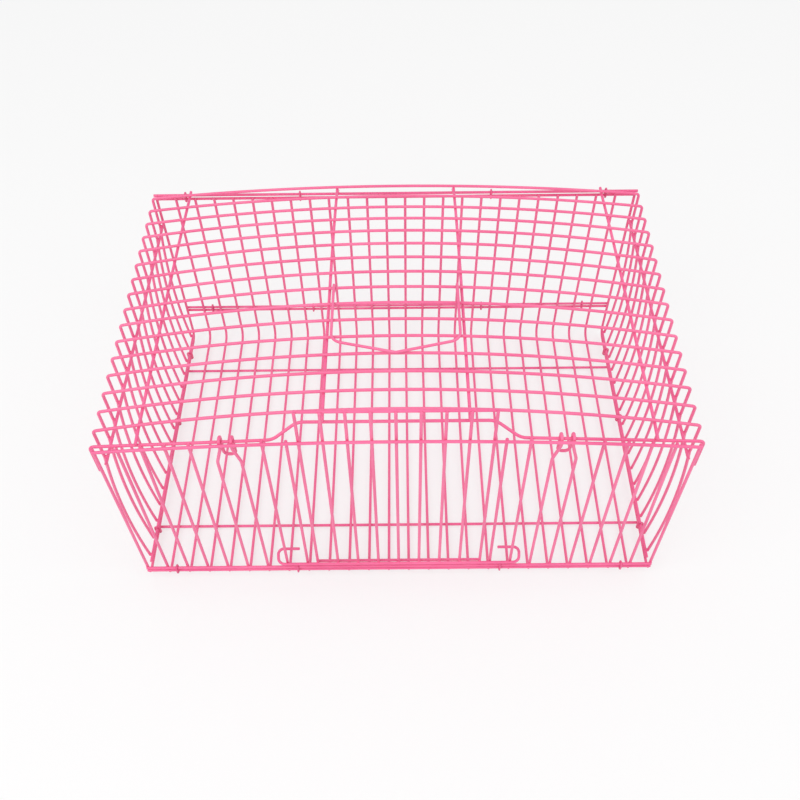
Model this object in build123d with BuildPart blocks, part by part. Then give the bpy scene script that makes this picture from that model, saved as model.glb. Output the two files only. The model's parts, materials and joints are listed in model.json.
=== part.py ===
"""Folding wire cage for guinea pigs: a floor tray with hinged sides, back, front and roof.

Frame: +Z up, +X to the right, -Y towards the front with its lift-up door.
The origin is on the ground, under the middle of the floor.
All sizes are in millimetres.
The wires repeat many times, so their sections are polygons and their bends are short chords.
"""

import os
from math import cos, degrees, pi, sin, sqrt, tan

from build123d import *

# Wire stock
wire_d = 2.8
rod_d = 3.6
ring_d = 2.2
handle_d = 3.2
weld_gap = 0.02
running_gap = 0.3
wire_sides = 6
rod_sides = 8
chord_angle = 30.0
ring_chords = 4

# Floor tray
pitch = 24.0
wire_count = 26
depth = 388.0
tray_bend = 12.0
back_rim = 58.0
front_rim = 20.0
rim_lap = 2.0
cross_rod_share = 0.66

# Walls
wall_end_gap = 1.6
front_top = 262.0
front_crown = 14.0
back_top = 258.0
side_top = 220.0
side_bulge = 6.0
side_chords = 4
side_inset = 12.0
hinge_step = 5.6
side_step = 6.8

# Roof
roof_rows = 16
roof_row_front = 22.0
roof_row_back = 6.0
roof_corner = 264.0
roof_bend = 8.0
roof_chords = 8
crown = 32.0
crown_fall = 17.0
outer_rod_share = 0.845
inner_rod_share = 0.237
rod_clear = 0.15
front_rod_set = 4.0
front_rod_rise = 9.0
jog_half = 97.0
jog_run = 25.0
jog_set = 15.0
jog_bend = 10.0

# Lift-up door
door_wires_n = 9
door_set = 0.3
door_bottom = 22.0
door_top = 317.2
door_bar_step = 3.0
door_guide_step = 22.0
hook_radius = 7.0
hook_return = 14.0

# Hinge rings, top hooks and handle
ring_share = 0.4
ring_end_share = 0.88
hook_first_wires = (5, 19)
hook_lean_drop = 38.0
hook_lean = 6.0
hook_stub = 6.0
hook_clear = 0.8
hook_drop = 12.0
hook_back = 9.0
hook_bend = 4.0
handle_row = 7
handle_gap = 1.5
handle_leg = 80.0
handle_point = 20.0
handle_lift = 2.0
handle_bend = 14.0

# Places that follow from the sizes above
wire_r = wire_d / 2
rod_r = rod_d / 2
handle_r = handle_d / 2
ring_radius = rod_r + running_gap + ring_d / 2
front_y = -depth / 2
back_y = depth / 2
half_width = pitch * (wire_count - 1) / 2
wire_xs = [-half_width + pitch * k for k in range(wire_count)]
weld_offset = wire_r + rod_r + weld_gap
floor_z = rod_d + wire_r + weld_gap
front_rod_y = front_y - weld_offset
back_rod_y = back_y + weld_offset
back_hinge_z = back_rim - rim_lap
back_base_z = back_hinge_z + hinge_step
front_hinge_z = front_rim - rim_lap
front_base_z = front_hinge_z + hinge_step
front_top_z = front_top - rim_lap
roof_hinge_z = back_top - rim_lap
roof_rod_z = roof_hinge_z + hinge_step
side_wire_x = half_width + weld_offset
side_base_z = floor_z + side_step
roof_x = half_width + wire_r + rod_r + running_gap
outer_rod_x = outer_rod_share * roof_x
inner_rod_x = inner_rod_share * roof_x
handle_half = inner_rod_x - rod_r - handle_r - handle_gap
row_pitch = (depth - roof_row_front - roof_row_back) / (roof_rows - 1)
row_ys = [front_y + roof_row_front + row_pitch * j for j in range(roof_rows)]
gap_first = (wire_count - door_wires_n) // 2
front_xs = wire_xs[: gap_first + 1] + wire_xs[-gap_first - 1:]
door_half = pitch * (door_wires_n - 1) / 2
door_y = front_y + door_set
door_bar_y = door_y + wire_d + weld_gap
guide_x = abs(wire_xs[gap_first - 1])
guide_z = door_bottom + door_guide_step
drop_low = side_top + wall_end_gap
front_bar_y = front_y + front_rod_set
front_bar_x = half_width + rod_d + running_gap
front_bar_z = roof_corner + front_rod_rise
jog_y = front_y + jog_set
hook_wires = [k + step for k in hook_first_wires for step in (0, 1)]

os.makedirs("parts", exist_ok=True)


def crown_at(y):
    """Rise of the roof's middle above its corners; it falls towards the back."""
    share = max(0, y / back_y)
    return crown - crown_fall * share**2


def arc_z(x, y):
    """Height of the roof's smooth crown over a point of the floor."""
    rise = crown_at(y)
    radius = (roof_x**2 + rise**2) / (2 * rise)
    return roof_corner + rise - radius + sqrt(radius**2 - x**2)


def roof_z(x, y):
    """Height of the roof wires' chords over a point of the floor."""
    step = 2 * roof_x / roof_chords
    low = min(int((x + roof_x) / step), roof_chords - 1) * step - roof_x
    share = (x - low) / step
    return arc_z(low, y) * (1 - share) + arc_z(min(low + step, roof_x), y) * share


def front_rise(x):
    """Rise of the front panel's top edge above its ends."""
    return front_crown * (1 - (x / half_width) ** 2)


def rounded(points, bends):
    """The points, with each inner corner replaced by chords of its bend where that isn't 0."""
    spots = [Vector(*p) for p in points]
    path = [spots[0]]
    for last, corner, following, bend in zip(spots, spots[1:], spots[2:], bends):
        back, ahead = last - corner, following - corner
        turn = pi - back.get_angle(ahead) * pi / 180
        if not bend or turn < 0.05:
            path.append(corner)
            continue
        reach = min(bend * tan(turn / 2), 0.45 * back.length, 0.45 * ahead.length)
        radius = reach / tan(turn / 2)
        back, ahead = back.normalized(), ahead.normalized()
        centre = corner + (back + ahead).normalized() * (radius / cos(turn / 2))
        spoke = corner + back * reach - centre
        axle = Axis((0, 0, 0), back.cross(ahead) * -1)
        chords = max(1, round(degrees(turn) / chord_angle))
        path += [centre + spoke.rotate(axle, degrees(turn) * i / chords) for i in range(chords + 1)]
    return path + [spots[-1]]


def bar(points, diameter, sides):
    """A bar of polygon section along straight runs between the points."""
    with BuildLine() as path:
        Polyline(*points)
    with BuildSketch(Plane(origin=path.line @ 0, z_dir=path.line % 0)) as profile:
        RegularPolygon(diameter / 2, sides)
    sweep(sections=profile.sketch, path=path.line, transition=Transition.RIGHT)


def bent_bar(points, bend, diameter, sides):
    """A bar through points, with the same bend at every inner one."""
    bar(rounded(points, [bend] * (len(points) - 2)), diameter, sides)


def cross_bar(half, y, z, diameter=rod_d, sides=rod_sides):
    """A straight bar from left to right."""
    bar([(-half, y, z), (half, y, z)], diameter, sides)


def around(centre, radius, start, end, chords):
    """Points on an arc in the YZ plane round centre; 0 degrees is +Y and 90 is +Z."""
    x, y, z = centre
    turns = [(start + (end - start) * i / chords) * pi / 180 for i in range(chords + 1)]
    return [(x, y + radius * cos(t), z + radius * sin(t)) for t in turns]


def hinge_ring(low, high, side):
    """An open ring bent round two rods, one above the other; side points to its gap."""
    side = Vector(*side)
    up = Vector(0, 0, 1)
    low, high = Vector(*low), Vector(*high)
    gap = up * (ring_d / 4)
    middle = (low + high) * 0.5 + side * ring_radius
    angles = [pi * i / ring_chords for i in range(ring_chords + 1)]
    over = [high + (side * cos(t) + up * sin(t)) * ring_radius for t in angles]
    under = [low - (side * cos(t) + up * sin(t)) * ring_radius for t in angles]
    bar([middle + gap, *over, *under, middle - gap], ring_d, wire_sides)


def save(piece, name):
    """Label a finished piece and write it."""
    piece.part.label = name
    export_step(piece.part, f"parts/{name}.step")


# Floor tray: long wires turned up at both ends, on two cross rods
with BuildPart() as one_floor_wire:
    tray_line = [
        (0, front_y, front_rim),
        (0, front_y, floor_z),
        (0, back_y, floor_z),
        (0, back_y, back_rim),
    ]
    bent_bar(tray_line, tray_bend, wire_d, wire_sides)

with BuildPart() as floor_wires:
    with GridLocations(pitch, 1, wire_count, 1):
        add(one_floor_wire.part)
save(floor_wires, "floor_wires")

with BuildPart() as floor_cross_rods:
    for sign in (-1, 1):
        cross_bar(half_width, sign * cross_rod_share * back_y, rod_r)
save(floor_cross_rods, "floor_cross_rods")

with BuildPart() as tray_front_rod:
    cross_bar(half_width, front_rod_y, front_hinge_z)
save(tray_front_rod, "tray_front_rod")

with BuildPart() as tray_back_rod:
    cross_bar(half_width, back_rod_y, back_hinge_z)
save(tray_back_rod, "tray_back_rod")

# Back panel, above the tray's back rim
with BuildPart() as back_wires:
    for x in wire_xs:
        bar([(x, back_y, back_rim + wall_end_gap), (x, back_y, back_top)], wire_d, wire_sides)
save(back_wires, "back_wires")

with BuildPart() as back_bottom_rod:
    cross_bar(half_width, back_rod_y, back_base_z)
save(back_bottom_rod, "back_bottom_rod")

with BuildPart() as back_top_rod:
    cross_bar(half_width, back_rod_y, roof_hinge_z)
save(back_top_rod, "back_top_rod")

# Rings stand half way between two wires
ring_steps = [wire_count // 2 * share for share in (ring_share, ring_end_share)]
ring_xs = [sign * pitch * round(step) for sign in (-1, 1) for step in ring_steps]

with BuildPart() as back_hinge_rings:
    for x in ring_xs:
        hinge_ring((x, back_rod_y, back_hinge_z), (x, back_rod_y, back_base_z), (0, 1, 0))
save(back_hinge_rings, "back_hinge_rings")

# Side panels: bowed wires welded outside a bottom and a top rod
side_front_y = front_y + side_inset
side_back_y = row_ys[-1] + wire_r
side_low = side_base_z - rod_r
ring_rows = (1, roof_rows // 2, roof_rows - 3)
for side, sign in (("left", -1), ("right", 1)):
    rod_x = sign * half_width

    with BuildPart() as side_wires:
        for y in row_ys:
            bow = []
            for i in range(side_chords + 1):
                share = i / side_chords
                out = side_wire_x + side_bulge * (1 - (2 * share - 1) ** 2)
                bow.append((sign * out, y, side_low + (side_top - side_low) * share))
            bar(bow, wire_d, wire_sides)
    save(side_wires, f"{side}_side_wires")

    with BuildPart() as side_bottom_rod:
        bar([(rod_x, side_front_y, side_base_z), (rod_x, side_back_y, side_base_z)], rod_d, rod_sides)
    save(side_bottom_rod, f"{side}_side_bottom_rod")

    with BuildPart() as side_top_rod:
        bar([(rod_x, side_front_y, side_top), (rod_x, side_back_y, side_top)], rod_d, rod_sides)
    save(side_top_rod, f"{side}_side_top_rod")

    with BuildPart() as side_hinge_rings:
        for j in ring_rows:
            y = row_ys[j] + row_pitch / 2
            hinge_ring((rod_x, y, floor_z), (rod_x, y, side_base_z), (-sign, 0, 0))
    save(side_hinge_rings, f"{side}_hinge_rings")

# Roof: crowned wires whose ends turn down over the side panels
roof_xs = [-roof_x + 2 * roof_x * i / roof_chords for i in range(roof_chords + 1)]
roof_bends = [roof_bend] + [0] * (roof_chords - 1) + [roof_bend]
with BuildPart() as roof_wires:
    for y in row_ys:
        hoop = [(x, y, roof_z(x, y)) for x in roof_xs]
        hoop = [(-roof_x, y, drop_low), *hoop, (roof_x, y, drop_low)]
        bar(rounded(hoop, roof_bends), wire_d, wire_sides)
save(roof_wires, "roof_wires")

under = weld_offset + rod_clear
jog_z = roof_z(inner_rod_x, row_ys[0]) - under - rod_d - weld_gap
with BuildPart() as roof_front_rod:
    half_bar = [
        (front_bar_x, front_bar_y, drop_low),
        (front_bar_x, front_bar_y, roof_corner),
        (jog_half + jog_run, front_bar_y, front_bar_z),
        (jog_half, jog_y, jog_z),
    ]
    mirrored = [(-x, y, z) for x, y, z in reversed(half_bar)]
    bent_bar(half_bar + mirrored, jog_bend, rod_d, rod_sides)
save(roof_front_rod, "roof_front_rod")

with BuildPart() as roof_back_rod:
    cross_bar(roof_x, back_rod_y, roof_rod_z)
save(roof_back_rod, "roof_back_rod")

# Long rods lie under the wires and on the front and back rods
spine_rows = (0, roof_rows // 2, roof_rows * 11 // 16, roof_rows - 3, roof_rows - 1)
slope = front_rod_rise / (front_bar_x - jog_half - jog_run)
outer_seat = (front_bar_y, roof_corner + slope * (front_bar_x - outer_rod_x))
inner_seat = (jog_y, jog_z)
with BuildPart() as roof_long_rods:
    for sign in (-1, 1):
        for rod_x, (seat_y, seat_z) in ((outer_rod_x, outer_seat), (inner_rod_x, inner_seat)):
            x = sign * rod_x
            spine = [(x, row_ys[j], roof_z(x, row_ys[j]) - under) for j in spine_rows]
            on_front = (x, seat_y - rod_r, seat_z + rod_d + weld_gap)
            on_back = (x, back_rod_y + rod_r, roof_rod_z + rod_d + weld_gap)
            bar([on_front, *spine, on_back], rod_d, rod_sides)
save(roof_long_rods, "roof_long_rods")

with BuildPart() as roof_hinge_rings:
    for x in ring_xs:
        hinge_ring((x, back_rod_y, roof_hinge_z), (x, back_rod_y, roof_rod_z), (0, 1, 0))
save(roof_hinge_rings, "roof_hinge_rings")

# Front panel, in two halves beside the door's opening
lean_z = front_top - hook_lean_drop
with BuildPart() as front_wires:
    for x in front_xs:
        top = front_top + front_rise(x)
        if wire_xs.index(x) in hook_wires:
            top = lean_z - weld_gap
        bar([(x, front_y, front_rim + wall_end_gap), (x, front_y, top)], wire_d, wire_sides)
save(front_wires, "front_wires")

with BuildPart() as front_bottom_rod:
    cross_bar(half_width, front_rod_y, front_base_z)
save(front_bottom_rod, "front_bottom_rod")

front_rod_xs = [-half_width + 2 * half_width * i / roof_chords for i in range(roof_chords + 1)]
with BuildPart() as front_top_rod:
    bar([(x, front_rod_y, front_top_z + front_rise(x)) for x in front_rod_xs], rod_d, rod_sides)
save(front_top_rod, "front_top_rod")

with BuildPart() as front_hinge_rings:
    for x in ring_xs:
        hinge_ring((x, front_rod_y, front_hinge_z), (x, front_rod_y, front_base_z), (0, -1, 0))
save(front_hinge_rings, "front_hinge_rings")

# Two pairs of front wires lean together, cross over the roof's front rod and join behind it
with BuildPart() as front_hooks:
    for k in hook_first_wires:
        x0, x1 = wire_xs[k], wire_xs[k + 1]
        behind = front_y + hook_back
        over_z = roof_corner + slope * (front_bar_x - abs(x0 + x1) / 2)
        peak = over_z + rod_r + wire_r + hook_clear
        rise = [
            (x0, front_y, lean_z),
            (x0, front_y, lean_z + hook_stub),
            (x0 + hook_lean, front_y, front_top),
            (x0 + hook_lean, front_y, peak),
            (x0 + hook_lean, behind, peak),
            (x0 + hook_lean, behind, front_top - hook_drop),
        ]
        fall = [(x0 + x1 - x, y, z) for x, y, z in reversed(rise)]
        bent_bar(rise + fall, hook_bend, wire_d, wire_sides)
save(front_hooks, "front_hooks")

# Lift-up door
with BuildPart() as door_wires:
    for i in range(door_wires_n):
        x = -door_half + pitch * i
        bar([(x, door_y, door_bottom), (x, door_y, door_top)], wire_d, wire_sides)
save(door_wires, "door_wires")

with BuildPart() as door_top_bar:
    cross_bar(door_half + wire_r, door_bar_y, door_top - wire_r, wire_d, wire_sides)
save(door_top_bar, "door_top_bar")

with BuildPart() as door_bottom_bar:
    cross_bar(door_half + wire_r, door_bar_y, door_bottom + door_bar_step, wire_d, wire_sides)
save(door_bottom_bar, "door_bottom_bar")

# The guide bar's ends hook round a wire of the front panel on each side
turn_x = guide_x + wire_d + running_gap
return_y = door_bar_y - 2 * hook_radius
with BuildPart() as door_guide_bar:
    half_guide = [
        (turn_x - hook_return, return_y, guide_z),
        (turn_x + hook_radius, return_y, guide_z),
        (turn_x + hook_radius, door_bar_y, guide_z),
    ]
    mirrored = [(-x, y, z) for x, y, z in reversed(half_guide)]
    bent_bar(half_guide + mirrored, hook_radius, wire_d, wire_sides)
save(door_guide_bar, "door_guide_bar")

# Carrying handle: a bail whose eyes turn on a roof wire
pivot_y = row_ys[handle_row]
pivot_z = roof_z(handle_half, pivot_y)
eye_radius = wire_r + running_gap + handle_r
leg_z = pivot_z + eye_radius
grip_y = pivot_y - handle_leg
tip_y = grip_y - handle_point
tip_z = leg_z + roof_z(0, tip_y) - pivot_z + handle_lift
with BuildPart() as carry_handle:
    eye = around((handle_half, pivot_y, pivot_z), eye_radius, -170, 90, 7)
    leg = rounded([eye[-1], (handle_half, grip_y, leg_z), (0, tip_y, tip_z)], [handle_bend])
    half_bail = [tuple(p) for p in eye[:-1] + leg[:-1]]
    mirrored = [(-x, y, z) for x, y, z in reversed(half_bail)]
    bar([*half_bail, (0, tip_y, tip_z), *mirrored], handle_d, rod_sides)
save(carry_handle, "carry_handle")
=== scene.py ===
"""Looks of the folding wire cage: round coated wire, weld beads, dipped wire ends, studio and camera.

Sizes are in millimetres and are those of the solids, unless the comment above them says otherwise.
"""

import json
import math

import bmesh
import bpy
from mathutils import Matrix, Vector

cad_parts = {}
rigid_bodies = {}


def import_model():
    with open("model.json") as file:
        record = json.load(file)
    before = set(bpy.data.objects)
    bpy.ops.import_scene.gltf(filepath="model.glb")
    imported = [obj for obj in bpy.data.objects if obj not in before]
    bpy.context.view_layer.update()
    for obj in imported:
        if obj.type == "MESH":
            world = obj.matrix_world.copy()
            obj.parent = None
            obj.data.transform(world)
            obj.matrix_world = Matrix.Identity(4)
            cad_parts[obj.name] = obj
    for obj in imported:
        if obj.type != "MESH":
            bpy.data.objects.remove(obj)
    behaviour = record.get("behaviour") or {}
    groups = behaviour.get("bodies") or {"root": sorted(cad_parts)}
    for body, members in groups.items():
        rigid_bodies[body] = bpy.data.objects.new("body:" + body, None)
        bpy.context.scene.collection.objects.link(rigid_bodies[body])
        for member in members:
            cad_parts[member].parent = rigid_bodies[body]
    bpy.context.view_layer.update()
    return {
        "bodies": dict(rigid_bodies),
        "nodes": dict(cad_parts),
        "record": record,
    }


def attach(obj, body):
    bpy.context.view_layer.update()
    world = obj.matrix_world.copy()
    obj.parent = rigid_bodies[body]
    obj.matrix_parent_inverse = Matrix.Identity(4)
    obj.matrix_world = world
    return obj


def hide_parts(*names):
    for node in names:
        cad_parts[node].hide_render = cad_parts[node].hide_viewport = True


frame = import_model()
scene = bpy.context.scene
MM = 0.001

# Wire stock
wire_d = 2.8
rod_d = 3.6
ring_d = 2.2
handle_d = 3.2
weld_gap = 0.02
running_gap = 0.3

# The coated wire is seen at these thicknesses, by material slot
coat_d = {"pink_wire": 3.4, "pink_rod": 3.4, "pink_clip": ring_d, "pink_handle": 3.1}

# Floor tray
pitch = 24.0
wire_count = 26
depth = 388.0
tray_bend = 12.0
back_rim = 58.0
front_rim = 20.0
rim_lap = 2.0
cross_rod_share = 0.66

# Walls
wall_end_gap = 1.6
front_top = 262.0
front_crown = 14.0
back_top = 258.0
side_top = 220.0
side_bulge = 6.0
side_inset = 12.0
hinge_step = 5.6
side_step = 6.8

# Roof
roof_rows = 16
roof_row_front = 22.0
roof_row_back = 6.0
roof_corner = 264.0
roof_chords = 8
crown = 32.0
crown_fall = 17.0
outer_rod_share = 0.845
inner_rod_share = 0.237
rod_clear = 0.15
front_rod_set = 4.0
front_rod_rise = 9.0
jog_half = 97.0
jog_run = 25.0
jog_set = 15.0

# Visible bends of the roof, not those of the solids: tight corners and a gentle rise to the raised middle
roof_bend = 4.5
bar_bend = 5.0
jog_bend = 20.0
spine_bend = 5.0

# The roof's front rod is shown this much lower than the solid, the front panel's top rod this much higher
line_close = 2.0

# Lift-up door
door_wires_n = 9
door_set = 0.3
door_bottom = 22.0
door_top = 317.2
door_bar_step = 3.0

# Visible guide bar, not the solid's: low on the front of the door, its ends turned in round a front wire
guide_step = 9.0
guide_clear = 0.8
guide_turn = 7.0
stub_reach = 18.0
stub_rise = 14.0
stub_set = 12.6

# Hinge rings
ring_pitches = (5, 11)
ring_rows = (1, roof_rows // 2, roof_rows - 3)

# Visible hooks over the roof's front rod: they hang lower and bend higher up than the solids
hook_first_wires = (5, 19)
hook_lean_drop = 28.0
hook_lean = 6.0
hook_stub = 6.0
hook_clear = 0.8
hook_drop = 21.0
hook_back = 9.0
hook_bend = 4.0
lean_bend = 14.0
loop_bend = 5.5

# Carrying handle
handle_row = 7
handle_gap = 1.5
handle_leg = 80.0
handle_point = 20.0
handle_lift = 2.0
handle_bend = 14.0
point_bend = 6.0
eye_start = -170.0
eye_sweep = 260.0

# Beads and dipped ends, as shares of the wire's radius
bead_share = 1.12
tip_swell = 1.03
tip_height = 0.36
bead_sides = 12
bead_levels = 8

# Bends: degrees in a step, the least turn in radians, and the most of a stretch that one bend takes up
bend_degrees = 9
least_turn = 0.02
longest_share = 0.45

# Steps along the other round stretches
ring_steps = 12
side_steps = 16
eye_steps = 24
edge_steps = 40
crown_steps = 48

# Places that follow from the sizes above
wire_r = wire_d / 2
rod_r = rod_d / 2
handle_r = handle_d / 2
ring_radius = rod_r + running_gap + ring_d / 2
front_y = -depth / 2
back_y = depth / 2
half_width = pitch * (wire_count - 1) / 2
wire_xs = [-half_width + pitch * k for k in range(wire_count)]
weld_offset = wire_r + rod_r + weld_gap
floor_z = rod_d + wire_r + weld_gap
cross_ys = [sign * cross_rod_share * back_y for sign in (-1, 1)]
ring_xs = [sign * pitch * k for sign in (-1, 1) for k in ring_pitches]
front_rod_y = front_y - weld_offset
back_rod_y = back_y + weld_offset
back_hinge_z = back_rim - rim_lap
back_base_z = back_hinge_z + hinge_step
front_hinge_z = front_rim - rim_lap
front_base_z = front_hinge_z + hinge_step
front_top_z = front_top - rim_lap + line_close
roof_hinge_z = back_top - rim_lap
roof_rod_z = roof_hinge_z + hinge_step
side_wire_x = half_width + weld_offset
side_base_z = floor_z + side_step
side_low = side_base_z - rod_r
roof_x = half_width + wire_r + rod_r + running_gap
outer_rod_x = outer_rod_share * roof_x
inner_rod_x = inner_rod_share * roof_x
row_pitch = (depth - roof_row_front - roof_row_back) / (roof_rows - 1)
row_ys = [front_y + roof_row_front + row_pitch * j for j in range(roof_rows)]
under = weld_offset + rod_clear
drop_low = side_top + wall_end_gap
bar_corner = roof_corner - line_close
front_bar_x = half_width + rod_d + running_gap
front_bar_y = front_y + front_rod_set
front_bar_z = bar_corner + front_rod_rise
bar_slope = front_rod_rise / (front_bar_x - jog_half - jog_run)
jog_y = front_y + jog_set
gap_first = (wire_count - door_wires_n) // 2
front_xs = wire_xs[: gap_first + 1] + wire_xs[-gap_first - 1:]
door_half = pitch * (door_wires_n - 1) / 2
door_xs = [-door_half + pitch * i for i in range(door_wires_n)]
door_y = front_y + door_set
door_bar_y = door_y + coat_d["pink_wire"] + weld_gap
guide_y = front_y - wire_d - guide_clear
guide_z = door_bottom + guide_step
turn_x = abs(wire_xs[gap_first - 1]) + wire_d + running_gap
hook_wires = [k + step for k in hook_first_wires for step in (0, 1)]
lean_z = front_top - hook_lean_drop
handle_half = inner_rod_x - rod_r - handle_r - handle_gap
eye_radius = (coat_d["pink_wire"] + coat_d["pink_handle"]) / 2 + running_gap
bead_r = wire_r * bead_share


def arc_z(x, y):
    """Height of the roof's smooth crown."""
    rise = crown - crown_fall * max(0, y / back_y) ** 2
    radius = (roof_x**2 + rise**2) / (2 * rise)
    return roof_corner + rise - radius + math.sqrt(radius**2 - x**2)


def roof_z(x, y):
    """Height of the solids' roof, which is made of chords."""
    step = 2 * roof_x / roof_chords
    low = min(int((x + roof_x) / step), roof_chords - 1) * step - roof_x
    share = (x - low) / step
    return arc_z(low, y) * (1 - share) + arc_z(min(low + step, roof_x), y) * share


def bar_z(x):
    """Height of the roof's front rod between its corner and its raised middle."""
    return bar_corner + bar_slope * (front_bar_x - abs(x))


def front_rise(x):
    """Rise of the front panel's top edge above its ends."""
    return front_crown * (1 - (x / half_width) ** 2)


def spread(half, steps):
    """Even steps from one side to the other."""
    return [-half + 2 * half * i / steps for i in range(steps + 1)]


def rounded(points, bends):
    """The points, with each inner corner turned along its bend, which shrinks where a stretch is short."""
    spots = [Vector(p) for p in points]
    if not isinstance(bends, (list, tuple)):
        bends = [bends] * (len(spots) - 2)
    path = [spots[0]]
    for last, corner, following, bend in zip(spots, spots[1:], spots[2:], bends):
        back, ahead = last - corner, following - corner
        turn = math.pi - back.angle(ahead)
        if not bend or turn < least_turn:
            path.append(corner)
            continue
        longest = longest_share * min(back.length, ahead.length)
        reach = min(bend * math.tan(turn / 2), longest)
        radius = reach / math.tan(turn / 2)
        back.normalize()
        ahead.normalize()
        centre = corner + (back + ahead).normalized() * (radius / math.cos(turn / 2))
        spoke = corner + back * reach - centre
        axle = ahead.cross(back).normalized()
        steps = max(2, round(math.degrees(turn) / bend_degrees))
        path += [centre + Matrix.Rotation(turn * i / steps, 3, axle) @ spoke for i in range(steps + 1)]
    return path + [spots[-1]]


def mirrored(points):
    """The same points on the other side, in the opposite order."""
    return [(-p[0], p[1], p[2]) for p in reversed(points)]


def coated(name, color, deep, rough, ripple):
    """Dip-coated wire: colour that pools and thins, a satin skin and fine ripples."""
    mat = bpy.data.materials.new(name)
    mat.use_nodes = True
    tree = mat.node_tree
    skin = tree.nodes["Principled BSDF"]
    place = tree.nodes.new("ShaderNodeTexCoord")

    broad = tree.nodes.new("ShaderNodeTexNoise")
    broad.inputs["Scale"].default_value = 14.0
    broad.inputs["Detail"].default_value = 5.0
    fine = tree.nodes.new("ShaderNodeTexNoise")
    fine.inputs["Scale"].default_value = 420.0
    fine.inputs["Detail"].default_value = 3.0
    for tex in (broad, fine):
        tree.links.new(place.outputs["Object"], tex.inputs["Vector"])

    ramp = tree.nodes.new("ShaderNodeValToRGB")
    ramp.color_ramp.elements[0].position = 0.3
    ramp.color_ramp.elements[0].color = (*deep, 1)
    ramp.color_ramp.elements[1].position = 0.68
    ramp.color_ramp.elements[1].color = (*color, 1)
    tree.links.new(broad.outputs["Fac"], ramp.inputs["Fac"])
    speck = tree.nodes.new("ShaderNodeMix")
    speck.data_type = "RGBA"
    speck.blend_type = "MULTIPLY"
    speck.inputs["Factor"].default_value = 0.12
    tree.links.new(ramp.outputs["Color"], speck.inputs["A"])
    tree.links.new(fine.outputs["Color"], speck.inputs["B"])
    tree.links.new(speck.outputs["Result"], skin.inputs["Base Color"])

    span = tree.nodes.new("ShaderNodeMapRange")
    span.inputs["To Min"].default_value = rough - 0.1
    span.inputs["To Max"].default_value = rough + 0.12
    tree.links.new(fine.outputs["Fac"], span.inputs["Value"])
    tree.links.new(span.outputs["Result"], skin.inputs["Roughness"])

    bump = tree.nodes.new("ShaderNodeBump")
    bump.inputs["Strength"].default_value = ripple
    bump.inputs["Distance"].default_value = 0.0003
    tree.links.new(fine.outputs["Fac"], bump.inputs["Height"])
    tree.links.new(bump.outputs["Normal"], skin.inputs["Normal"])
    skin.inputs["Coat Weight"].default_value = 0.25
    skin.inputs["Coat Roughness"].default_value = 0.25
    return mat


by_slot = {
    "pink_wire": coated("pink_wire_coat", (0.98, 0.19, 0.385), (0.89, 0.135, 0.315), 0.42, 0.35),
    "pink_rod": coated("pink_rod_coat", (0.98, 0.17, 0.375), (0.88, 0.115, 0.3), 0.4, 0.3),
    "pink_clip": coated("pink_clip_coat", (0.95, 0.15, 0.34), (0.72, 0.075, 0.22), 0.46, 0.4),
    "pink_handle": coated("pink_handle_coat", (0.98, 0.19, 0.39), (0.89, 0.135, 0.32), 0.38, 0.3),
}
slots = {entry["node"]: entry["material_slot"] for entry in frame["record"]["subparts"]}
body_of_node = {n: body for body, ns in frame["record"]["behaviour"]["bodies"].items() for n in ns}
for node, piece in frame["nodes"].items():
    piece.data.materials.clear()
    piece.data.materials.append(by_slot[slots[node]])

# Where each body has wire ends and welds, filled in as its wires are drawn
tips = {body: [] for body in frame["bodies"]}
welds = {body: [] for body in frame["bodies"]}


def tubes(node, paths):
    """Round wire along each path, in place of a node's polygon bars. Its ends are noted for the tips."""
    diameter = coat_d[slots[node]]
    data = bpy.data.curves.new(f"{node}_round", "CURVE")
    data.dimensions = "3D"
    data.bevel_depth = diameter / 2 * MM
    data.bevel_resolution = 4
    data.use_fill_caps = True
    for path in paths:
        spline = data.splines.new("POLY")
        spline.points.add(len(path) - 1)
        for spot, place in zip(spline.points, path):
            spot.co = (*(c * MM for c in place), 1)
        for end, before in ((path[0], path[1]), (path[-1], path[-2])):
            tips[body_of_node[node]].append((end, Vector(end) - Vector(before), diameter / 2))
    piece = bpy.data.objects.new(f"{node}_round", data)
    scene.collection.objects.link(piece)
    data.materials.append(by_slot[slots[node]])
    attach(piece, body_of_node[node])
    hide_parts(node)


def across(half, y, z):
    """A straight path from left to right."""
    return [(-half, y, z), (half, y, z)]


def ring(low, high, side):
    """The path of an open ring round two rods, one above the other."""
    low, high, side, up = Vector(low), Vector(high), Vector(side), Vector((0, 0, 1))
    gap = up * (ring_d / 4)
    middle = (low + high) / 2 + side * ring_radius
    turns = [math.pi * i / ring_steps for i in range(ring_steps + 1)]
    over = [high + (side * math.cos(t) + up * math.sin(t)) * ring_radius for t in turns]
    below = [low - (side * math.cos(t) + up * math.sin(t)) * ring_radius for t in turns]
    return [middle + gap, *over, *below, middle - gap]


def ring_row(y, low_z, high_z, side):
    """The rings along a hinge that runs from left to right."""
    return [ring((x, y, low_z), (x, y, high_z), side) for x in ring_xs]


# Floor tray
tray = [(front_y, front_rim), (front_y, floor_z), (back_y, floor_z), (back_y, back_rim)]
tubes("floor_wires", [rounded([(x, y, z) for y, z in tray], tray_bend) for x in wire_xs])
tubes("floor_cross_rods", [across(half_width, y, rod_r) for y in cross_ys])
tubes("tray_front_rod", [across(half_width, front_rod_y, front_hinge_z)])
tubes("tray_back_rod", [across(half_width, back_rod_y, back_hinge_z)])
for x in wire_xs:
    welds["base"] += [(x, y, rod_d) for y in cross_ys]
    welds["base"] += [(x, front_y - wire_r, front_hinge_z), (x, back_y + wire_r, back_hinge_z)]

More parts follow.
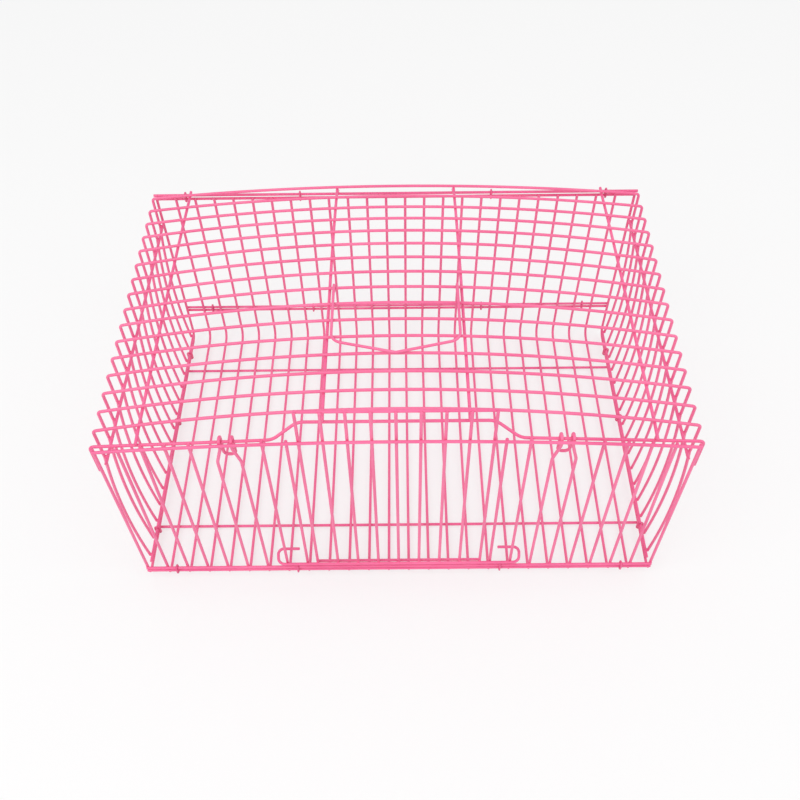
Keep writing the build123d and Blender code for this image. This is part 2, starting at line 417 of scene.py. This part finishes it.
# Back panel
tubes("back_wires", [[(x, back_y, back_rim + wall_end_gap), (x, back_y, back_top)] for x in wire_xs])
tubes("back_bottom_rod", [across(half_width, back_rod_y, back_base_z)])
tubes("back_top_rod", [across(half_width, back_rod_y, roof_hinge_z)])
tubes("back_hinge_rings", ring_row(back_rod_y, back_hinge_z, back_base_z, (0, 1, 0)))
for x in wire_xs:
    welds["back_panel"] += [(x, back_y + wire_r, back_base_z), (x, back_y + wire_r, roof_hinge_z)]

# Side panels
bow = [i / side_steps for i in range(side_steps + 1)]
rod_ys = (front_y + side_inset, row_ys[-1] + wire_r)
for side, sign in (("left", -1), ("right", 1)):
    rod_x = sign * half_width
    contact = sign * (half_width + rod_r)
    lines = []
    for y in row_ys:
        out = [side_wire_x + side_bulge * (1 - (2 * t - 1) ** 2) for t in bow]
        lines.append([(sign * x, y, side_low + (side_top - side_low) * t) for x, t in zip(out, bow)])
        welds[f"{side}_side"] += [(contact, y, side_base_z), (contact, y, side_top)]
    tubes(f"{side}_side_wires", lines)
    for level, z in (("bottom", side_base_z), ("top", side_top)):
        tubes(f"{side}_side_{level}_rod", [[(rod_x, y, z) for y in rod_ys]])
    spots = [row_ys[j] + row_pitch / 2 for j in ring_rows]
    rings = [ring((rod_x, y, floor_z), (rod_x, y, side_base_z), (-sign, 0, 0)) for y in spots]
    tubes(f"{side}_hinge_rings", rings)

# Roof wires: straight drops over the sides, a bend, and the crown, whose points keep clear of the bends
crown_xs = [x for x in spread(roof_x, crown_steps) if abs(x) < roof_x - 2 * roof_bend]
hoop_bends = [roof_bend, *[0] * len(crown_xs), roof_bend]
hoops = []
for y in row_ys:
    corners = [(-roof_x, y, drop_low), (-roof_x, y, arc_z(-roof_x, y))]
    hoop = corners + [(x, y, arc_z(x, y)) for x in crown_xs] + mirrored(corners)
    hoops.append(rounded(hoop, hoop_bends))
tubes("roof_wires", hoops)

# Roof rods: the long ones bend at a few rows and rest on the front and back rods
jog_z = roof_z(inner_rod_x, row_ys[0]) - under - rod_d - weld_gap - line_close
half_bar = [
    (front_bar_x, front_bar_y, drop_low),
    (front_bar_x, front_bar_y, bar_corner),
    (jog_half + jog_run, front_bar_y, front_bar_z),
    (jog_half, jog_y, jog_z),
]
bar_bends = [bar_bend, jog_bend, jog_bend]
tubes("roof_front_rod", [rounded(half_bar + mirrored(half_bar), bar_bends + bar_bends[::-1])])
tubes("roof_back_rod", [across(roof_x, back_rod_y, roof_rod_z)])
tubes("roof_hinge_rings", ring_row(back_rod_y, roof_hinge_z, roof_rod_z, (0, 1, 0)))
spine_rows = (0, roof_rows // 2, roof_rows * 11 // 16, roof_rows - 3, roof_rows - 1)
seats = ((outer_rod_x, front_bar_y, bar_z(outer_rod_x)), (inner_rod_x, jog_y, jog_z))
spines = []
for sign in (-1, 1):
    for rod_x, seat_y, seat_z in seats:
        x = sign * rod_x
        spine = [(x, row_ys[j], roof_z(x, row_ys[j]) - under) for j in spine_rows]
        on_front = (x, seat_y - rod_r, seat_z + rod_d + weld_gap)
        on_back = (x, back_rod_y + rod_r, roof_rod_z + rod_d + weld_gap)
        spines.append(rounded([on_front, *spine, on_back], spine_bend))
        welds["roof"] += [(x, y, roof_z(x, y) - wire_r) for y in row_ys]
        welds["roof"] += [(x, seat_y, seat_z + rod_r), (x, back_rod_y, roof_rod_z + rod_r)]
tubes("roof_long_rods", spines)

# Front panel
uprights = []
for k, x in enumerate(wire_xs):
    if x not in front_xs:
        continue
    hooked = k in hook_wires
    top = lean_z - weld_gap if hooked else front_top + front_rise(x)
    uprights.append([(x, front_y, front_rim + wall_end_gap), (x, front_y, top)])
    welds["front_panel"].append((x, front_y - wire_r, front_base_z))
    if not hooked:
        welds["front_panel"].append((x, front_y - wire_r, front_top_z + front_rise(x)))
tubes("front_wires", uprights)
tubes("front_bottom_rod", [across(half_width, front_rod_y, front_base_z)])
edge = [(x, front_rod_y, front_top_z + front_rise(x)) for x in spread(half_width, edge_steps)]
tubes("front_top_rod", [edge])
tubes("front_hinge_rings", ring_row(front_rod_y, front_hinge_z, front_base_z, (0, -1, 0)))

# Hooks: each joins two front wires in a loop over the roof's front rod
hook_bends = [lean_bend, lean_bend, hook_bend, hook_bend, loop_bend]
hooks = []
for k in hook_first_wires:
    x0, x1 = wire_xs[k], wire_xs[k + 1]
    peak = bar_z((x0 + x1) / 2) + rod_r + wire_r + hook_clear
    rise = [
        (x0, front_y, lean_z),
        (x0, front_y, lean_z + hook_stub),
        (x0 + hook_lean, front_y, front_top),
        (x0 + hook_lean, front_y, peak),
        (x0 + hook_lean, front_y + hook_back, peak),
        (x0 + hook_lean, front_y + hook_back, front_top - hook_drop),
    ]
    fall = [(x0 + x1 - x, y, z) for x, y, z in reversed(rise)]
    hooks.append(rounded(rise + fall, hook_bends + hook_bends[::-1]))
tubes("front_hooks", hooks)

# Door
tubes("door_wires", [[(x, door_y, door_bottom), (x, door_y, door_top)] for x in door_xs])
bar_zs = {"door_top_bar": door_top - wire_r, "door_bottom_bar": door_bottom + door_bar_step}
for node, z in bar_zs.items():
    tubes(node, [across(door_half + wire_r, door_bar_y, z)])
half_guide = [
    (turn_x - stub_reach, guide_y + stub_set, guide_z + stub_rise),
    (turn_x + guide_turn, guide_y + stub_set, guide_z + stub_rise),
    (turn_x + guide_turn, guide_y, guide_z),
]
tubes("door_guide_bar", [rounded(half_guide + mirrored(half_guide), guide_turn)])
for x in door_xs:
    welds["door"] += [(x, door_y + wire_r, z) for z in bar_zs.values()]
    welds["door"].append((x, (guide_y + door_y) / 2, guide_z))

# Carrying handle: an eye round a roof wire at each end, two legs and a V-shaped grip
pivot_y = row_ys[handle_row]
pivot_z = roof_z(handle_half, pivot_y)
leg_z, grip_y = pivot_z + eye_radius, pivot_y - handle_leg
tip_y = grip_y - handle_point
tip_z = leg_z + roof_z(0, tip_y) - pivot_z + handle_lift
eye_turns = [math.radians(eye_start + eye_sweep * i / eye_steps) for i in range(eye_steps + 1)]
eye_ys = [pivot_y + eye_radius * math.cos(t) for t in eye_turns]
eye_zs = [pivot_z + eye_radius * math.sin(t) for t in eye_turns]
eye = [(handle_half, y, z) for y, z in zip(eye_ys, eye_zs)]
half_grip = [eye[-1], (handle_half, grip_y, leg_z)]
grip_bends = [handle_bend, point_bend, handle_bend]
grip = rounded([*half_grip, (0, tip_y, tip_z), *mirrored(half_grip)], grip_bends)
tubes("carry_handle", [eye[:-1] + grip + mirrored(eye[:-1])])


def blobs(name, body, spots, slot):
    """Small beads of coating, each with its height along a direction, joined in one piece."""
    mesh = bmesh.new()
    for place, along, radius, height in spots:
        at = Matrix.Translation([c * MM for c in place])
        lean = Vector(along).to_track_quat("Z", "Y").to_matrix().to_4x4()
        size = Matrix.Diagonal((radius * MM, radius * MM, height * MM, 1))
        bmesh.ops.create_uvsphere(mesh, u_segments=bead_sides, v_segments=bead_levels, radius=1,
                                  matrix=at @ lean @ size)
    for face in mesh.faces:
        face.smooth = True
    data = bpy.data.meshes.new(name)
    mesh.to_mesh(data)
    mesh.free()
    data.materials.append(by_slot[slot])
    piece = bpy.data.objects.new(name, data)
    scene.collection.objects.link(piece)
    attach(piece, body)


for body, places in welds.items():
    if places:
        spots = [(place, (0, 0, 1), bead_r, bead_r) for place in places]
        blobs(f"{body}_weld_beads", body, spots, "pink_rod")
for body, ends in tips.items():
    spots = [(place, along, r * tip_swell, r * tip_height) for place, along, r in ends]
    blobs(f"{body}_dipped_ends", body, spots, "pink_wire")

# Floor and backdrop, in metres from here on
ground_size = 12
ground_drop = 0.0005
ground_grey = 0.86
white_share = 0.6
bpy.ops.mesh.primitive_plane_add(size=ground_size, location=(0, 0, -ground_drop))
ground = bpy.context.object
ground.name = "ground"
ground_mat = bpy.data.materials.new("pale_ground")
ground_mat.use_nodes = True
ground_tree = ground_mat.node_tree
ground_skin = ground_tree.nodes["Principled BSDF"]
ground_skin.inputs["Base Color"].default_value = (ground_grey, ground_grey, ground_grey, 1)
ground_skin.inputs["Roughness"].default_value = 0.9

# What the camera sees of the ground is lifted towards white; its light on the cage stays
rays = ground_tree.nodes.new("ShaderNodeLightPath")
straight = ground_tree.nodes.new("ShaderNodeMath")
straight.operation = "ADD"
straight.use_clamp = True
passed = ground_tree.nodes.new("ShaderNodeMath")
passed.operation = "ADD"
passed.use_clamp = True
lift = ground_tree.nodes.new("ShaderNodeMath")
lift.operation = "MULTIPLY"
lift.inputs[1].default_value = white_share
white = ground_tree.nodes.new("ShaderNodeEmission")
blend = ground_tree.nodes.new("ShaderNodeMixShader")
ground_tree.links.new(rays.outputs["Is Camera Ray"], straight.inputs[0])
ground_tree.links.new(rays.outputs["Is Glossy Ray"], straight.inputs[1])
ground_tree.links.new(straight.outputs["Value"], passed.inputs[0])
ground_tree.links.new(rays.outputs["Is Transmission Ray"], passed.inputs[1])
ground_tree.links.new(passed.outputs["Value"], lift.inputs[0])
ground_tree.links.new(lift.outputs["Value"], blend.inputs["Fac"])
ground_tree.links.new(ground_skin.outputs["BSDF"], blend.inputs[1])
ground_tree.links.new(white.outputs["Emission"], blend.inputs[2])
ground_tree.links.new(blend.outputs["Shader"], ground_tree.nodes["Material Output"].inputs["Surface"])
ground.data.materials.append(ground_mat)

# Soft studio light
lamp_aim = Vector((0, 0, 0.15))
world = bpy.data.worlds.new("studio")
scene.world = world
world.use_nodes = True
world.node_tree.nodes["Background"].inputs["Color"].default_value = (1, 1, 1, 1)
world.node_tree.nodes["Background"].inputs["Strength"].default_value = 0.82


def soft_light(name, place, size, power):
    """A large square lamp aimed at the middle of the cage."""
    data = bpy.data.lights.new(name, "AREA")
    data.size = size
    data.energy = power
    lamp = bpy.data.objects.new(name, data)
    scene.collection.objects.link(lamp)
    lamp.location = place
    lamp.rotation_euler = (lamp_aim - Vector(place)).to_track_quat("-Z", "Y").to_euler()


soft_light("key", (-1.1, -1.2, 2.0), size=1.6, power=18)
soft_light("fill", (1.5, -0.6, 1.6), size=1.8, power=8)

# Camera at the photograph's angle
camera_place = (0.00659, -0.70764, 0.98558)
yaw, pitch_down, roll = 0.0049, 0.9008, 0.0134
right = Vector((math.cos(yaw), math.sin(yaw), 0))
level = Vector((-math.sin(yaw), math.cos(yaw), 0))
ahead = level * math.cos(pitch_down) - Vector((0, 0, 1)) * math.sin(pitch_down)
above = level * math.sin(pitch_down) + Vector((0, 0, 1)) * math.cos(pitch_down)
cam_x = right * math.cos(roll) - above * math.sin(roll)
cam_y = right * math.sin(roll) + above * math.cos(roll)
turn = Matrix((cam_x, cam_y, -ahead)).transposed().to_4x4()
cam_data = bpy.data.cameras.new("camera")
cam_data.sensor_width = 36
cam_data.lens = 40.485
camera = bpy.data.objects.new("camera", cam_data)
scene.collection.objects.link(camera)
camera.matrix_world = Matrix.Translation(camera_place) @ turn
scene.camera = camera

scene.view_settings.view_transform = "Standard"
bpy.context.view_layer.update()
